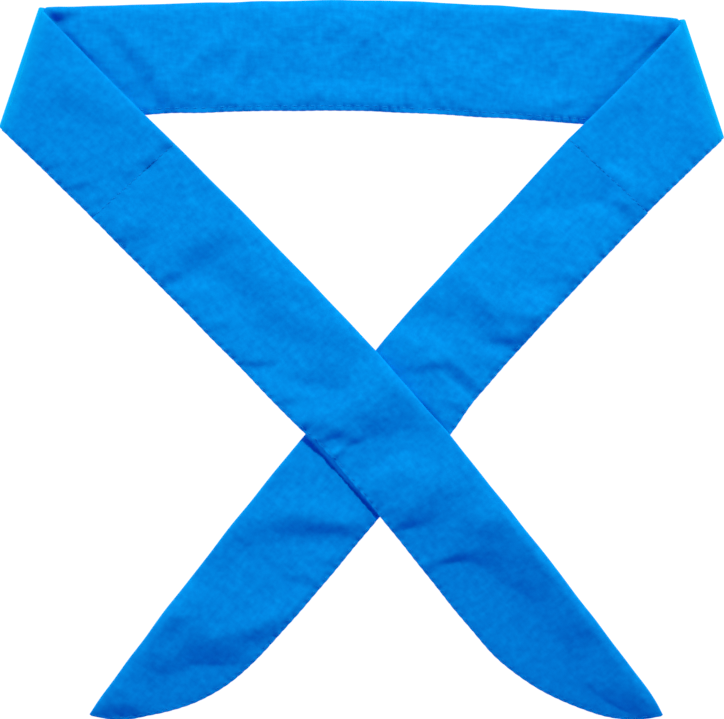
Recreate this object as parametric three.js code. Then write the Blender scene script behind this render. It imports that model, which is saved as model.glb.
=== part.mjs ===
// A cooling neck wrap laid flat and seen from above. One long sewn sleeve makes the neck band and its two arms,
// which turn over themselves at both upper corners. A pointed tie is sewn to each arm, and the ties cross below
// the neck opening. Millimetres, +Z up, the cloth resting on Z = 0, +X and +Y to the right and up in plan.
// Every section of the sleeve runs from its folded edge, where the cloth is doubled over, to its sewn hem.
import * as THREE from "three";

// Thickness of the cloth and of the hollow between its two layers
const WALL = 1.0;
const CROWN = 3.0;
const TIP_CROWN = 2.0;
const SEWN_EDGE = 1.8;
const LEAST_HOLLOW = 0.2;

// Spaces between one length of cloth and the next
const LAYER_GAP = 0.3;
const SEAM_GAP = 0.3;

// Both edges are thinner than the middle: share of the crown lost there, and how far in the loss reaches
const FOLDED_EDGE = { loss: 0.45, reach: 6 };
const HEM_EDGE = { loss: 0.38, reach: 5 };

// A strap comes down beside the layer that it lies on, from just past that layer's edge to the end of its drape
const EDGE_MARGIN = 1;
const DRAPE = 22;

// Ends of the creases, of the cross seams and of the ties
const LEFT_CREASE = { fold: [-132.2, 144.5], hem: [-148.7, 95.0] };
const RIGHT_CREASE = { fold: [132.2, 139.6], hem: [148.4, 90.6] };
const LEFT_SEAM = { fold: [-76.7, 88.4], hem: [-110.3, 58.0] };
const RIGHT_SEAM = { fold: [84.5, 90.4], hem: [116.4, 60.1] };
const LEFT_TIP = [123.6, -145.8];
const RIGHT_TIP = [-112.1, -145.8];

// Edges of the lower layers that a strap falls past, each with the open side on its right hand
const BAND_HEM_LEFT = { from: [-148.4, 95.9], to: [-87.7, 101.1] };
const BAND_HEM_RIGHT = { from: [90.2, 97.4], to: [148.0, 91.6] };
const CROSSED_FOLD = { from: [5.7, 3.5], to: [-23.9, -31.8] };
const CROSSED_HEM = { from: [6.6, -65.0], to: [35.8, -31.0] };

// Sections of the three straight-running lengths.
// along: way down the straight line between the two ends of the folded edge
// bow: how far the folded edge stands off that line, away from the hem
// lean: how far the hem lies ahead of the folded edge
// width: folded edge to hem, square to the line
const BAND_SECTIONS = [
  { along: 0, bow: 0, lean: -15.3, width: 48.9 },
  { along: 26.4, bow: 1.1, lean: -12.1, width: 46.4 },
  { along: 52.9, bow: 2.3, lean: -8.9, width: 45.0 },
  { along: 92.6, bow: 3.9, lean: -4.1, width: 44.6 },
  { along: 132.3, bow: 5.3, lean: 0.7, width: 45.1 },
  { along: 171.9, bow: 4.5, lean: 5.5, width: 45.6 },
  { along: 211.6, bow: 2.9, lean: 10.3, width: 45.9 },
  { along: 238.0, bow: 1.6, lean: 13.5, width: 46.9 },
  { along: 264.5, bow: 0, lean: 16.7, width: 47.7 },
];
const LEFT_TIE_SECTIONS = [
  { along: 0, bow: 0, lean: 1.2, width: 45.3 },
  { along: 32, bow: 2.3, lean: 0, width: 45.3 },
  { along: 78, bow: 5.2, lean: 0, width: 45.0 },
  { along: 118, bow: 7.4, lean: 0, width: 44.9 },
  { along: 163, bow: 8.2, lean: 0, width: 44.5 },
  { along: 194, bow: 6.8, lean: 0, width: 42.8 },
  { along: 229, bow: 5.5, lean: 0, width: 42.6 },
  { along: 247, bow: 4.5, lean: 0, width: 41.0 },
  { along: 260, bow: 3.8, lean: 0, width: 37.7 },
  { along: 275, bow: 2.9, lean: 0, width: 31.4 },
  { along: 285, bow: 2.4, lean: 0, width: 25.6 },
  { along: 296, bow: 1.6, lean: 0, width: 17.3 },
  { along: 303, bow: 0.8, lean: 0, width: 9.5 },
  { along: 308, bow: 0, lean: 0, width: 2 },
];
const RIGHT_TIE_SECTIONS = [
  { along: 0, bow: 0, lean: 2.9, width: 44.2 },
  { along: 34, bow: 1.6, lean: 0, width: 43.6 },
  { along: 79, bow: 4.2, lean: 0, width: 43.3 },
  { along: 107, bow: 4.6, lean: 0, width: 43.6 },
  { along: 124, bow: 4.9, lean: 0, width: 45.2 },
  { along: 170, bow: 5.3, lean: 0, width: 45.1 },
  { along: 207, bow: 4.8, lean: 0, width: 44.2 },
  { along: 235, bow: 3.9, lean: 0, width: 42.3 },
  { along: 258, bow: 2.8, lean: 0, width: 38.8 },
  { along: 274, bow: 1.9, lean: 0, width: 32.4 },
  { along: 284, bow: 1.2, lean: 0, width: 25.7 },
  { along: 291, bow: 0.8, lean: 0, width: 20.0 },
  { along: 302, bow: 0.2, lean: 0, width: 9.3 },
  { along: 307, bow: 0, lean: 0, width: 2 },
];

// Dents pressed into the upper face: the middle, the heading of the long way in degrees from +X towards +Y, the
// half length, the half width and the depth
const BAND_DENTS = [
  { x: -91, y: 123, heading: -55, length: 17, width: 4.5, depth: 0.7 },
  { x: 117, y: 130, heading: 45, length: 9, width: 4, depth: 0.6 },
  { x: 90, y: 104, heading: 10, length: 9, width: 4, depth: 0.5 },
  { x: -12, y: 106, heading: 4, length: 10, width: 3, depth: 0.4 },
  { x: 28, y: 106, heading: -4, length: 10, width: 3, depth: 0.4 },
];
const LEFT_STRAP_DENTS = [
  { x: -108, y: 66, heading: 5, length: 5, width: 2.5, depth: 0.6 },
  { x: -94, y: 73, heading: -42, length: 7, width: 2.5, depth: 0.5 },
  { x: -63, y: 46, heading: 28, length: 10, width: 5, depth: 0.8 },
  { x: -38, y: 21, heading: -44, length: 16, width: 5, depth: 0.7 },
  { x: -43, y: -2, heading: 0, length: 5, width: 2, depth: 0.5 },
  { x: -19, y: -10, heading: -13, length: 11, width: 3, depth: 0.6 },
  { x: 7, y: -28, heading: 9, length: 24, width: 4, depth: 0.8 },
  { x: -12, y: -41, heading: 10, length: 5, width: 2.5, depth: 0.5 },
  { x: 24, y: -64, heading: 24, length: 11, width: 4.5, depth: 0.7 },
  { x: 43, y: -81, heading: 16, length: 18, width: 4.5, depth: 0.8 },
  { x: 82, y: -108, heading: -44, length: 26, width: 6, depth: 0.8 },
  { x: 107, y: -140, heading: -30, length: 6, width: 3, depth: 0.4 },
];
const RIGHT_STRAP_DENTS = [
  { x: 107, y: 62, heading: -56, length: 6, width: 3, depth: 0.5 },
  { x: 83, y: 33, heading: 0, length: 5, width: 2, depth: 0.5 },
  { x: 69, y: 16, heading: 0, length: 5, width: 2, depth: 0.5 },
  { x: 50, y: 15, heading: -34, length: 15, width: 4.5, depth: 0.9 },
  { x: 35, y: -3, heading: -23, length: 14, width: 4, depth: 0.8 },
  { x: -25, y: -70, heading: 0, length: 23, width: 4.5, depth: 0.7 },
  { x: -23, y: -92, heading: 0, length: 6, width: 2.5, depth: 0.5 },
  { x: -64, y: -120, heading: 13, length: 27, width: 5, depth: 0.9 },
  { x: -100, y: -140, heading: 30, length: 6, width: 3, depth: 0.4 },
];

// Places across the sleeve, from the folded edge at 0 to the hem at 1
const UPPER_COLUMNS = [0.03, 0.12, 0.26, 0.42, 0.58, 0.74, 0.88, 0.96];
const RESTING_COLUMNS = [0.03, 0.5, 0.96];
const HOLLOW_COLUMNS = [0.22, 0.5, 0.78];
const HOLLOW_FROM = 0.06;
const HOLLOW_TO = 0.93;

// Spacing of the sections along the cloth, and along the narrowing end of a tie
const STEP = 7.5;
const TIP_STEP = 5;
const TIP_START = 240;
const HOLLOW_END = 268;
const ARM_STEPS = 11;
const TURN_STEPS = 8;

// The flat lengths begin this share of the way from a crease, clear of its turn
const CLEAR_OF_CREASE = 0.08;
const BAND_CLEAR_OF_CREASE = 9;
const ARM_BOW = 1.0;

// At a crease the sleeve turns half a circle; its edges are slanted to it, so they slide along it as they turn
const LAYER_RISE = CROWN + LAYER_GAP;
const STACK_RADIUS = CROWN + LAYER_GAP / 2;
const MIDDLE_RADIUS = LAYER_RISE / 2;
const CREASE_SLIDE = 0.33;

const CLOTH = { color: "#0088e2", roughness: 0.92, metalness: 0 };

const plan = ([x, y]) => new THREE.Vector2(x, y);
const ruling = ({ fold, hem }) => ({ fold: plan(fold), hem: plan(hem) });

// Even steps from one place to another, both ends included.
function steps(from, to, count) {
  return Array.from({ length: count + 1 }, (_, i) => from + ((to - from) * i) / count);
}

// Reads a table's other columns at any place on its first one, along a smooth curve through its rows.
function columnsOf(rows) {
  const [place, ...names] = Object.keys(rows[0]);
  const places = rows.map((row) => row[place]);
  const values = rows.flatMap((row) => names.map((name) => row[name]));
  const curve = new THREE.CubicInterpolant(places, values, names.length);
  return (at) => {
    const found = curve.evaluate(at);
    return Object.fromEntries(names.map((name, i) => [name, found[i]]));
  };
}

// Sections of a length whose folded edge runs from start to end. The hem lies to the left of that way where
// hemSide is 1, and to the right where it is -1.
function planSections(start, end, hemSide, rows, places) {
  const way = end.clone().sub(start).normalize();
  const square = new THREE.Vector2(-way.y, way.x).multiplyScalar(hemSide);
  const columns = columnsOf(rows);
  return places.map((along) => {
    const { bow, lean, width } = columns(along);
    const fold = start.clone().addScaledVector(way, along).addScaledVector(square, -bow);
    const hem = fold.clone().addScaledVector(way, lean).addScaledVector(square, width);
    return { fold, hem, crown: CROWN };
  });
}

// Sections of an arm, from its cross seam to its crease: each lies between the two, and both edges bow out.
function armSections(seam, crease) {
  const gap = SEAM_GAP / 2 / seam.fold.distanceTo(crease.fold);
  const outward = seam.fold.clone().sub(seam.hem).normalize();
  return steps(gap, 1 - CLEAR_OF_CREASE, ARM_STEPS).map((share) => {
    const bow = 4 * ARM_BOW * share * (1 - share);
    const fold = seam.fold.clone().lerp(crease.fold, share).addScaledVector(outward, bow);
    const hem = seam.hem.clone().lerp(crease.hem, share).addScaledVector(outward, -bow);
    return { fold, hem, crown: CROWN };
  });
}

// Thickness of the whole sleeve at a place across a section.
function thicknessAt({ fold, hem, crown }, across) {
  const width = fold.distanceTo(hem);
  const foldLoss = FOLDED_EDGE.loss * Math.exp((-across * width) / FOLDED_EDGE.reach);
  const hemLoss = HEM_EDGE.loss * Math.exp(((across - 1) * width) / HEM_EDGE.reach);
  return Math.max(SEWN_EDGE, crown * (1 - foldLoss - hemLoss));
}

// Depth of all dents at a point in plan: each falls off as a bell along and across its heading.
function dentDepth(dents, x, y) {
  return dents.reduce((sum, dent) => {
    const turn = THREE.MathUtils.degToRad(dent.heading);
    const alongDent = (x - dent.x) * Math.cos(turn) + (y - dent.y) * Math.sin(turn);
    const acrossDent = (y - dent.y) * Math.cos(turn) - (x - dent.x) * Math.sin(turn);
    return sum + dent.depth * Math.exp(-((alongDent / dent.length) ** 2) - (acrossDent / dent.width) ** 2);
  }, 0);
}

// How far a point lies on the open side of a lower layer's edge.
function past({ from, to }, x, y) {
  const [edgeX, edgeY] = [to[0] - from[0], to[1] - from[1]];
  const turned = edgeX * (y - from[1]) - edgeY * (x - from[0]);
  return -turned / Math.hypot(edgeX, edgeY);
}

// Height of a strap's underside at a distance past the edge of the layer below it.
function restAt(distance) {
  return LAYER_RISE * (1 - THREE.MathUtils.smoothstep(distance, EDGE_MARGIN, DRAPE));
}

const onFloor = () => 0;
const underLeftStrap = (x, y) => {
  const pastTie = Math.max(past(CROSSED_FOLD, x, y), past(CROSSED_HEM, x, y));
  return Math.max(restAt(past(BAND_HEM_LEFT, x, y)), restAt(pastTie));
};
const underRightStrap = (x, y) => restAt(past(BAND_HEM_RIGHT, x, y));

// Gives a section its two faces at any place across it. The front is up in the band; an arm or tie that has
// turned over has its back up. The lower face rests on what is below, and the upper one is crowned and dented.
function lying(section, restsOn, dents, turnedOver) {
  const faces = (across) => {
    const { x, y } = section.fold.clone().lerp(section.hem, across);
    const low = restsOn(x, y);
    const high = low + thicknessAt(section, across) - dentDepth(dents, x, y);
    const lower = new THREE.Vector3(x, y, low);
    const upper = new THREE.Vector3(x, y, high);
    return turnedOver ? { front: lower, back: upper } : { front: upper, back: lower };
  };
  return { ...section, faces };
}

// Sections round a crease, from the band's side to the strap's: rays from the middle line of the turn, whose
// back is on the outside. The front is the crowned face up to the crease, and the back is past it.
function overCrease(crease) {
  const down = crease.hem.clone().sub(crease.fold).normalize();
  const inward = new THREE.Vector2(-down.y, down.x);
  inward.multiplyScalar(-Math.sign(inward.x * crease.fold.x));
  return steps(-Math.PI / 2, Math.PI / 2, TURN_STEPS).map((turn) => {
    const shift = inward.clone().multiplyScalar(STACK_RADIUS);
    shift.addScaledVector(down, CREASE_SLIDE * MIDDLE_RADIUS * turn);
    const section = { fold: crease.fold.clone().add(shift), hem: crease.hem.clone().add(shift), crown: CROWN };
    const ray = new THREE.Vector3(-inward.x * Math.cos(turn), -inward.y * Math.cos(turn), Math.sin(turn));
    const faces = (across) => {
      const { x, y } = section.fold.clone().lerp(section.hem, across);
      const middle = new THREE.Vector3(x, y, STACK_RADIUS);
      const thickness = thicknessAt(section, across);
      const backRadius = STACK_RADIUS - (CROWN - thickness) * Math.max(0, Math.sin(turn));
      const back = middle.clone().addScaledVector(ray, backRadius);
      const front = middle.clone().addScaledVector(ray, backRadius - thickness);
      return { front, back };
    };
    return { ...section, faces };
  });
}

// The middle between a section's two faces, taken at one place across and moved to another.
function edgeLine(section, near, at) {
  const { front, back } = section.faces(near);
  const across = section.hem.clone().sub(section.fold).multiplyScalar(at - near);
  return front.add(back).multiplyScalar(0.5).add(new THREE.Vector3(across.x, across.y, 0));
}

// Points round the outside of the sleeve: folded edge, front, hem, back.
function outerRing(section, frontColumns, backColumns) {
  const first = frontColumns.at(0);
  const last = frontColumns.at(-1);
  return [
    edgeLine(section, first, 0),
    ...frontColumns.map((across) => section.faces(across).front),
    edgeLine(section, last, 1),
    ...backColumns.toReversed().map((across) => section.faces(across).back),
  ];
}

// Points round the hollow: one wall in from each face, and never closed up.
function hollowRing(section) {
  const inset = (across) => {
    const { front, back } = section.faces(across);
    const middle = front.clone().lerp(back, 0.5);
    const half = Math.max(front.distanceTo(back) / 2 - WALL, LEAST_HOLLOW / 2);
    const toFront = front.sub(back).normalize().multiplyScalar(half);
    return { front: middle.clone().add(toFront), back: middle.clone().sub(toFront) };
  };
  return [
    edgeLine(section, HOLLOW_FROM, HOLLOW_FROM),
    ...HOLLOW_COLUMNS.map((across) => inset(across).front),
    edgeLine(section, HOLLOW_TO, HOLLOW_TO),
    ...HOLLOW_COLUMNS.toReversed().map((across) => inset(across).back),
  ];
}

// Triangles of a flat end between an outer ring and, where it is open, a hollow ring. The ends of a loft face
// opposite ways: one keeps the ring's own way round, and the other is reversed.
function endFacets(section, outer, hollow, keepsWay) {
  const across = section.hem.clone().sub(section.fold).normalize();
  const flatten = (point) => new THREE.Vector2(point.x * across.x + point.y * across.y, point.z);
  const outline = outer.map(flatten);
  const holes = hollow.length ? [hollow.map(flatten)] : [];
  const corners = [outline, ...holes].flat();
  const way = Math.sign(THREE.ShapeUtils.area(outline));
  return THREE.ShapeUtils.triangulateShape(outline, holes).map((facet) => {
    const sameWay = Math.sign(THREE.ShapeUtils.area(facet.map((i) => corners[i]))) === way;
    return sameWay === keepsWay ? facet : facet.toReversed();
  });
}

// Encloses the cloth between the outside of the sleeve and its hollow, which is open at the first section and
// either open at the last one too or closed at the section numbered hollowEnd.
function sleeveGeometry(sections, frontColumns, backColumns, hollowEnd) {
  const outside = sections.map((section) => outerRing(section, frontColumns, backColumns));
  const hollow = sections.slice(0, hollowEnd + 1).map(hollowRing);
  const points = [...outside.flat(), ...hollow.flat()];
  const facets = [];
  const outerSize = outside[0].length;
  const hollowSize = hollow[0].length;
  const hollowStart = outside.length * outerSize;
  const loft = (start, size, rings, inwards) => {
    for (let ring = 0; ring < rings - 1; ring++) {
      for (let i = 0; i < size; i++) {
        const here = start + ring * size + i;
        const beside = start + ring * size + ((i + 1) % size);
        const pair = [[here, beside, beside + size], [here, beside + size, here + size]];
        facets.push(...pair.map((facet) => (inwards ? facet.toReversed() : facet)));
      }
    }
  };
  loft(0, outerSize, outside.length, false);
  loft(hollowStart, hollowSize, hollow.length, true);

  const close = (at, outer, outerStart, inner, innerStart, keepsWay) => {
    const indexOf = (i) => (i < outer.length ? outerStart + i : innerStart + i - outer.length);
    facets.push(...endFacets(sections[at], outer, inner, keepsWay).map((facet) => facet.map(indexOf)));
  };
  const last = sections.length - 1;
  const lastOuterStart = last * outerSize;
  const lastHollowStart = hollowStart + (hollow.length - 1) * hollowSize;
  close(0, outside[0], 0, hollow[0], hollowStart, false);
  if (hollowEnd === last) {
    close(last, outside[last], lastOuterStart, hollow[last], lastHollowStart, true);
  } else {
    close(last, outside[last], lastOuterStart, [], 0, true);
    close(hollowEnd, hollow[hollowEnd], lastHollowStart, [], 0, false);
  }
  return facingOut(points, facets);
}

// A geometry whose faces point out of the cloth, whichever way round its sections ran.
function facingOut(points, facets) {
  const volume = facets.reduce((sum, [a, b, c]) => {
    return sum + points[a].dot(points[b].clone().cross(points[c])) / 6;
  }, 0);
  const outward = volume > 0 ? facets : facets.map((facet) => facet.toReversed());
  const geometry = new THREE.BufferGeometry().setFromPoints(points);
  geometry.setIndex(outward.flat());
  geometry.computeVertexNormals();
  return geometry;
}

function clothPiece(name, geometry) {
  const piece = new THREE.Mesh(geometry, new THREE.MeshStandardMaterial(CLOTH));
  piece.name = name;
  return piece;
}

// The band with an arm at each end: left arm, left crease, band, right crease, right arm.
function neckPocket() {
  const leftCrease = ruling(LEFT_CREASE);
  const rightCrease = ruling(RIGHT_CREASE);
  const bandLength = leftCrease.fold.distanceTo(rightCrease.fold);
  const bandSteps = Math.round(bandLength / STEP);
  const bandPlaces = steps(BAND_CLEAR_OF_CREASE, bandLength - BAND_CLEAR_OF_CREASE, bandSteps);
  const band = planSections(leftCrease.fold, rightCrease.fold, -1, BAND_SECTIONS, bandPlaces);
  const leftArm = armSections(ruling(LEFT_SEAM), leftCrease);
  const rightArm = armSections(ruling(RIGHT_SEAM), rightCrease);
  const sections = [
    ...leftArm.map((section) => lying(section, underLeftStrap, LEFT_STRAP_DENTS, true)),
    ...overCrease(leftCrease).toReversed(),
    ...band.map((section) => lying(section, onFloor, BAND_DENTS, false)),
    ...overCrease(rightCrease),
    ...rightArm.toReversed().map((section) => lying(section, underRightStrap, RIGHT_STRAP_DENTS, true)),
  ];
  return clothPiece("neck_pocket", sleeveGeometry(sections, UPPER_COLUMNS, UPPER_COLUMNS, sections.length - 1));
}

// A tie from its cross seam to its point. Its hollow ends where the narrowing cloth is sewn flat, and the crown
// sinks towards the point.
function tie(name, seam, tip, hemSide, rows, restsOn, dents) {
  const start = plan(seam.fold);
  const end = rows.at(-1).along;
  const places = [
    ...steps(SEAM_GAP / 2, TIP_START - STEP, Math.round(TIP_START / STEP) - 1),
    ...steps(TIP_START, end, Math.round((end - TIP_START) / TIP_STEP)),
  ];
  const sections = planSections(start, plan(tip), hemSide, rows, places).map((section, i) => {
    const sunk = THREE.MathUtils.smoothstep(places[i], TIP_START, end);
    const crown = THREE.MathUtils.lerp(CROWN, TIP_CROWN, sunk);
    return lying({ ...section, crown }, restsOn, dents, true);
  });
  const hollowEnd = places.findIndex((place) => place > HOLLOW_END);
  return clothPiece(name, sleeveGeometry(sections, RESTING_COLUMNS, UPPER_COLUMNS, hollowEnd));
}

const neckWrap = new THREE.Group();
neckWrap.add(
  neckPocket(),
  tie("left_tie", LEFT_SEAM, LEFT_TIP, -1, LEFT_TIE_SECTIONS, underLeftStrap, LEFT_STRAP_DENTS),
  tie("right_tie", RIGHT_SEAM, RIGHT_TIP, 1, RIGHT_TIE_SECTIONS, underRightStrap, RIGHT_STRAP_DENTS),
);

export default neckWrap;
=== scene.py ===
"""Looks of a cooling neck wrap laid flat: three pieces of blue cloth, their stitching, a pale floor, soft
light and the camera above. Metres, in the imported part's frame: the cloth rests on Z = 0 and +Y is the top
of the picture. The neck pocket is a sewn sleeve whose ends turn over at both upper corners. A pointed tie
is sewn to each end of it, and the ties cross. Every section of the cloth runs from its folded edge to its
sewn hem."""

from dataclasses import dataclass, replace

import bpy
import numpy as np
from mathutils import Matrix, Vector


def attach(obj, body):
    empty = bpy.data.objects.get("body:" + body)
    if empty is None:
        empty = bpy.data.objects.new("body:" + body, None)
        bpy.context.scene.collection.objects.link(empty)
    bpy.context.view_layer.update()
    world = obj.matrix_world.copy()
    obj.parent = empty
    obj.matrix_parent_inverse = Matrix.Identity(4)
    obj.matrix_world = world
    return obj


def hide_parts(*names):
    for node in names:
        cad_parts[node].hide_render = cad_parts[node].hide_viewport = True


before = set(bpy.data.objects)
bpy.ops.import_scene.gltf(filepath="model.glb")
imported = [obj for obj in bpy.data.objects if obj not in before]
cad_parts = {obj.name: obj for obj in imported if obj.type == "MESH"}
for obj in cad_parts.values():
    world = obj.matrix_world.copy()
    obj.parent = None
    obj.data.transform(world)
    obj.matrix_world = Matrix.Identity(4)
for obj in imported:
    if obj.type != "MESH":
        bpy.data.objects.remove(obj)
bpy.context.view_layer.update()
CLOTH_MAP = "cloth"

# Thickness of the laid sleeve and of its tips, the least that folds, the sewn cloth and an edge may thin it
# to, how softly it bends into them, and the space between two lengths that lie on each other
CROWN = 0.003
TIP_CROWN = 0.0024
LEAST_BODY = 0.0010
LEAST_THICKNESS = 0.0005
LEAST_EDGE = 0.0004
THIN_BLEND = 0.0003
LAYER_GAP = 0.00015

# Effects that fade with the distance from an edge, each a share or height and its reach: how the crown
# thins towards its folded edge and beside a crease, and how far both edges lift off what is below
NO_EFFECT = (0, 1)
FOLD_LOSSES = ((0.33, 0.0016), (0.06, 0.0060))
CREASE_LOSS = (0.14, 0.009)
FOLD_LIFT = (0.0005, 0.0013)
HEM_LIFT = (0.0010, 0.0013)

# How deep an upper length's edge presses into the one below, the share that it follows down, the slump of
# the crossed tie, and from where to where a strap comes down past the edge of the lower length
LEFT_PRESS = (0.00022, 0.0010)
RIGHT_PRESS = (0.0010, 0.0019)
CROSSING_PRESS = (0.0019, 0.0014)
DRAPE_SHARE = 0.6
CROSSING_SLUMP = (0.24, 0.005)
LEFT_ARM_DROP = (0.001, 0.065)
RIGHT_ARM_DROP = (0.001, 0.090)
CROSSING_DROP = (0.001, 0.042)

# Radii of the rounded edges, and the shape of the turn at a crease
FOLD_NOSE = 0.0007
HEM_NOSE = 0.0005
TURN_REACH = 0.0022
TURN_HOLLOW = 0.00015
TURN_SLIDE = 0.0004
TURN_STEPS = 18

# Ends of the creases, of the cross seams and of the ties
LEFT_CREASE = ((-0.1322, 0.1445), (-0.1487, 0.0950))
RIGHT_CREASE = ((0.1322, 0.1396), (0.1484, 0.0906))
LEFT_SEAM = ((-0.0767, 0.0884), (-0.1105, 0.0578))
RIGHT_SEAM = ((0.0845, 0.0904), (0.1166, 0.0599))
LEFT_TIP = (0.1236, -0.1458)
RIGHT_TIP = (-0.1121, -0.1458)

# Edges of the lower layers that a strap comes down beside, each with the open side on its right hand
BAND_HEM_LEFT = ((-0.1484, 0.0959), (-0.0877, 0.1011))
BAND_HEM_RIGHT = ((0.0902, 0.0974), (0.1480, 0.0916))
CROSSED_FOLD = ((0.0057, 0.0035), (-0.0239, -0.0318))
CROSSED_HEM = ((0.0066, -0.0650), (0.0812, -0.0453))

# Edges of the upper layers, each with the covered side on its right hand. The right arm's nose is the line
# that its folded edge touches the band along.
LEFT_ARM_EDGE = ((-0.1324, 0.1443), (-0.0769, 0.0882))
RIGHT_ARM_EDGE = ((0.0849, 0.0900), (0.1326, 0.1392))
RIGHT_ARM_NOSE = ((0.0857, 0.0892), (0.1334, 0.1384))
CROSSING_FOLD = ((0.0057, 0.0035), (0.0358, -0.0310))
CROSSING_HEM = ((0.0067, -0.0649), (-0.0234, -0.0313))

# Sections of the three long lengths, in millimetres: the way down the straight line between the ends of
# the folded edge, how far that edge stands off it, how far the hem lies ahead, and the width square to the
# line. A tie's crown sinks from the start of its tip.
BAND_ROWS = np.array((
    (0, 0, -15.3, 48.9), (26.4, 1.1, -12.1, 46.8), (52.9, 2.4, -8.9, 45.7), (92.6, 4.1, -4.1, 45.2),
    (132.3, 5.3, 0.7, 45.5), (171.9, 4.6, 5.5, 46.1), (211.6, 3, 10.3, 46.7), (238, 1.8, 13.5, 47.5),
    (264.5, 0, 16.7, 48.1),
)) / 1000
LEFT_TIE_ROWS = np.array((
    (0, 0, 1.2, 45.6), (32, 2.5, 0, 45.8), (78, 5.5, 0, 45.5), (118, 7.5, 0, 44.8), (126, 7.6, 0, 44.1),
    (135, 7.7, 0, 42.8), (147, 7.9, 0, 42.9), (163, 8.1, 0, 43.3), (194, 7.1, 0, 43.3),
    (229, 5.9, 0, 43.2), (247, 4.9, 0, 41.7), (260, 4.2, 0, 38.4), (275, 3.3, 0, 32.2),
    (285, 2.8, 0, 26.5), (296, 2, 0, 18.4), (303, 1.1, 0, 10.5), (308, 0, 0, 1.2),
)) / 1000
RIGHT_TIE_ROWS = np.array((
    (0, 0, 2.9, 44.5), (34, 1.7, 0, 44), (79, 4.4, 0, 44.3), (107, 5.3, 0, 44.6), (124, 5.2, 0, 45.6),
    (170, 5.4, 0, 45.2), (207, 4.9, 0, 44.7), (235, 4, 0, 43), (258, 3.2, 0, 40), (274, 2.4, 0, 33.6),
    (284, 1.7, 0, 26.9), (291, 1.3, 0, 21.2), (302, 0.6, 0, 10.5), (307, 0, 0, 1.2),
)) / 1000
TIP_START = 0.240

# How far the folded edge and the hem of each arm bow outwards
LEFT_ARM_BOWS = (-0.0005, -0.0002)
RIGHT_ARM_BOWS = (-0.0008, -0.0001)

# Soft folds on the upper face: both ends of each one's line and its thickness, in photo
# pixels from the top left, and how much darker than the cloth it is, in percent (below 0 where lighter)
BAND_FOLDS = (
    (80, 56, 640, 56, 54, 8), (42, 10, 60, 18, 8, 220), (54, 13, 78, 15, 8, 60),
    (118, 36, 135, 58, 9, 20), (130, 52, 152, 80, 9, 26), (150, 76, 166, 106, 10, 26),
    (112, 66, 146, 100, 14, 15), (170, 102, 225, 98, 8, 12), (290, 98, 355, 97, 8, 12),
    (385, 100, 455, 106, 8, 12), (90, 32, 120, 30, 9, 10), (82, 38, 122, 54, 10, -12),
    (234, 94, 248, 64, 6, 20), (207, 70, 222, 48, 10, 10), (285, 66, 325, 72, 10, 8),
    (192, 102, 200, 92, 4, 15), (422, 74, 437, 104, 6, 18), (445, 98, 462, 106, 5, 15),
    (557, 110, 568, 103, 6, 26), (564, 109, 580, 100, 6, 25), (596, 82, 656, 24, 14, 10),
    (624, 72, 676, 28, 4, 30), (500, 20, 600, 27, 30, 10), (100, 48, 140, 60, 12, 10),
    (150, 94, 170, 104, 8, 12), (612, 24, 640, 32, 8, 12), (632, 44, 660, 34, 12, 18),
    (558, 36, 572, 35, 6, 10), (660, 42, 680, 24, 7, 30), (668, 26, 686, 20, 8, 140),
    (616, 22, 652, 28, 8, 28), (622, 52, 656, 36, 14, 14), (345, 92, 392, 92, 14, -14),
    (128, 50, 150, 70, 12, 10), (300, 100, 330, 99, 4, 12), (520, 108, 545, 110, 5, 15),
)
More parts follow.
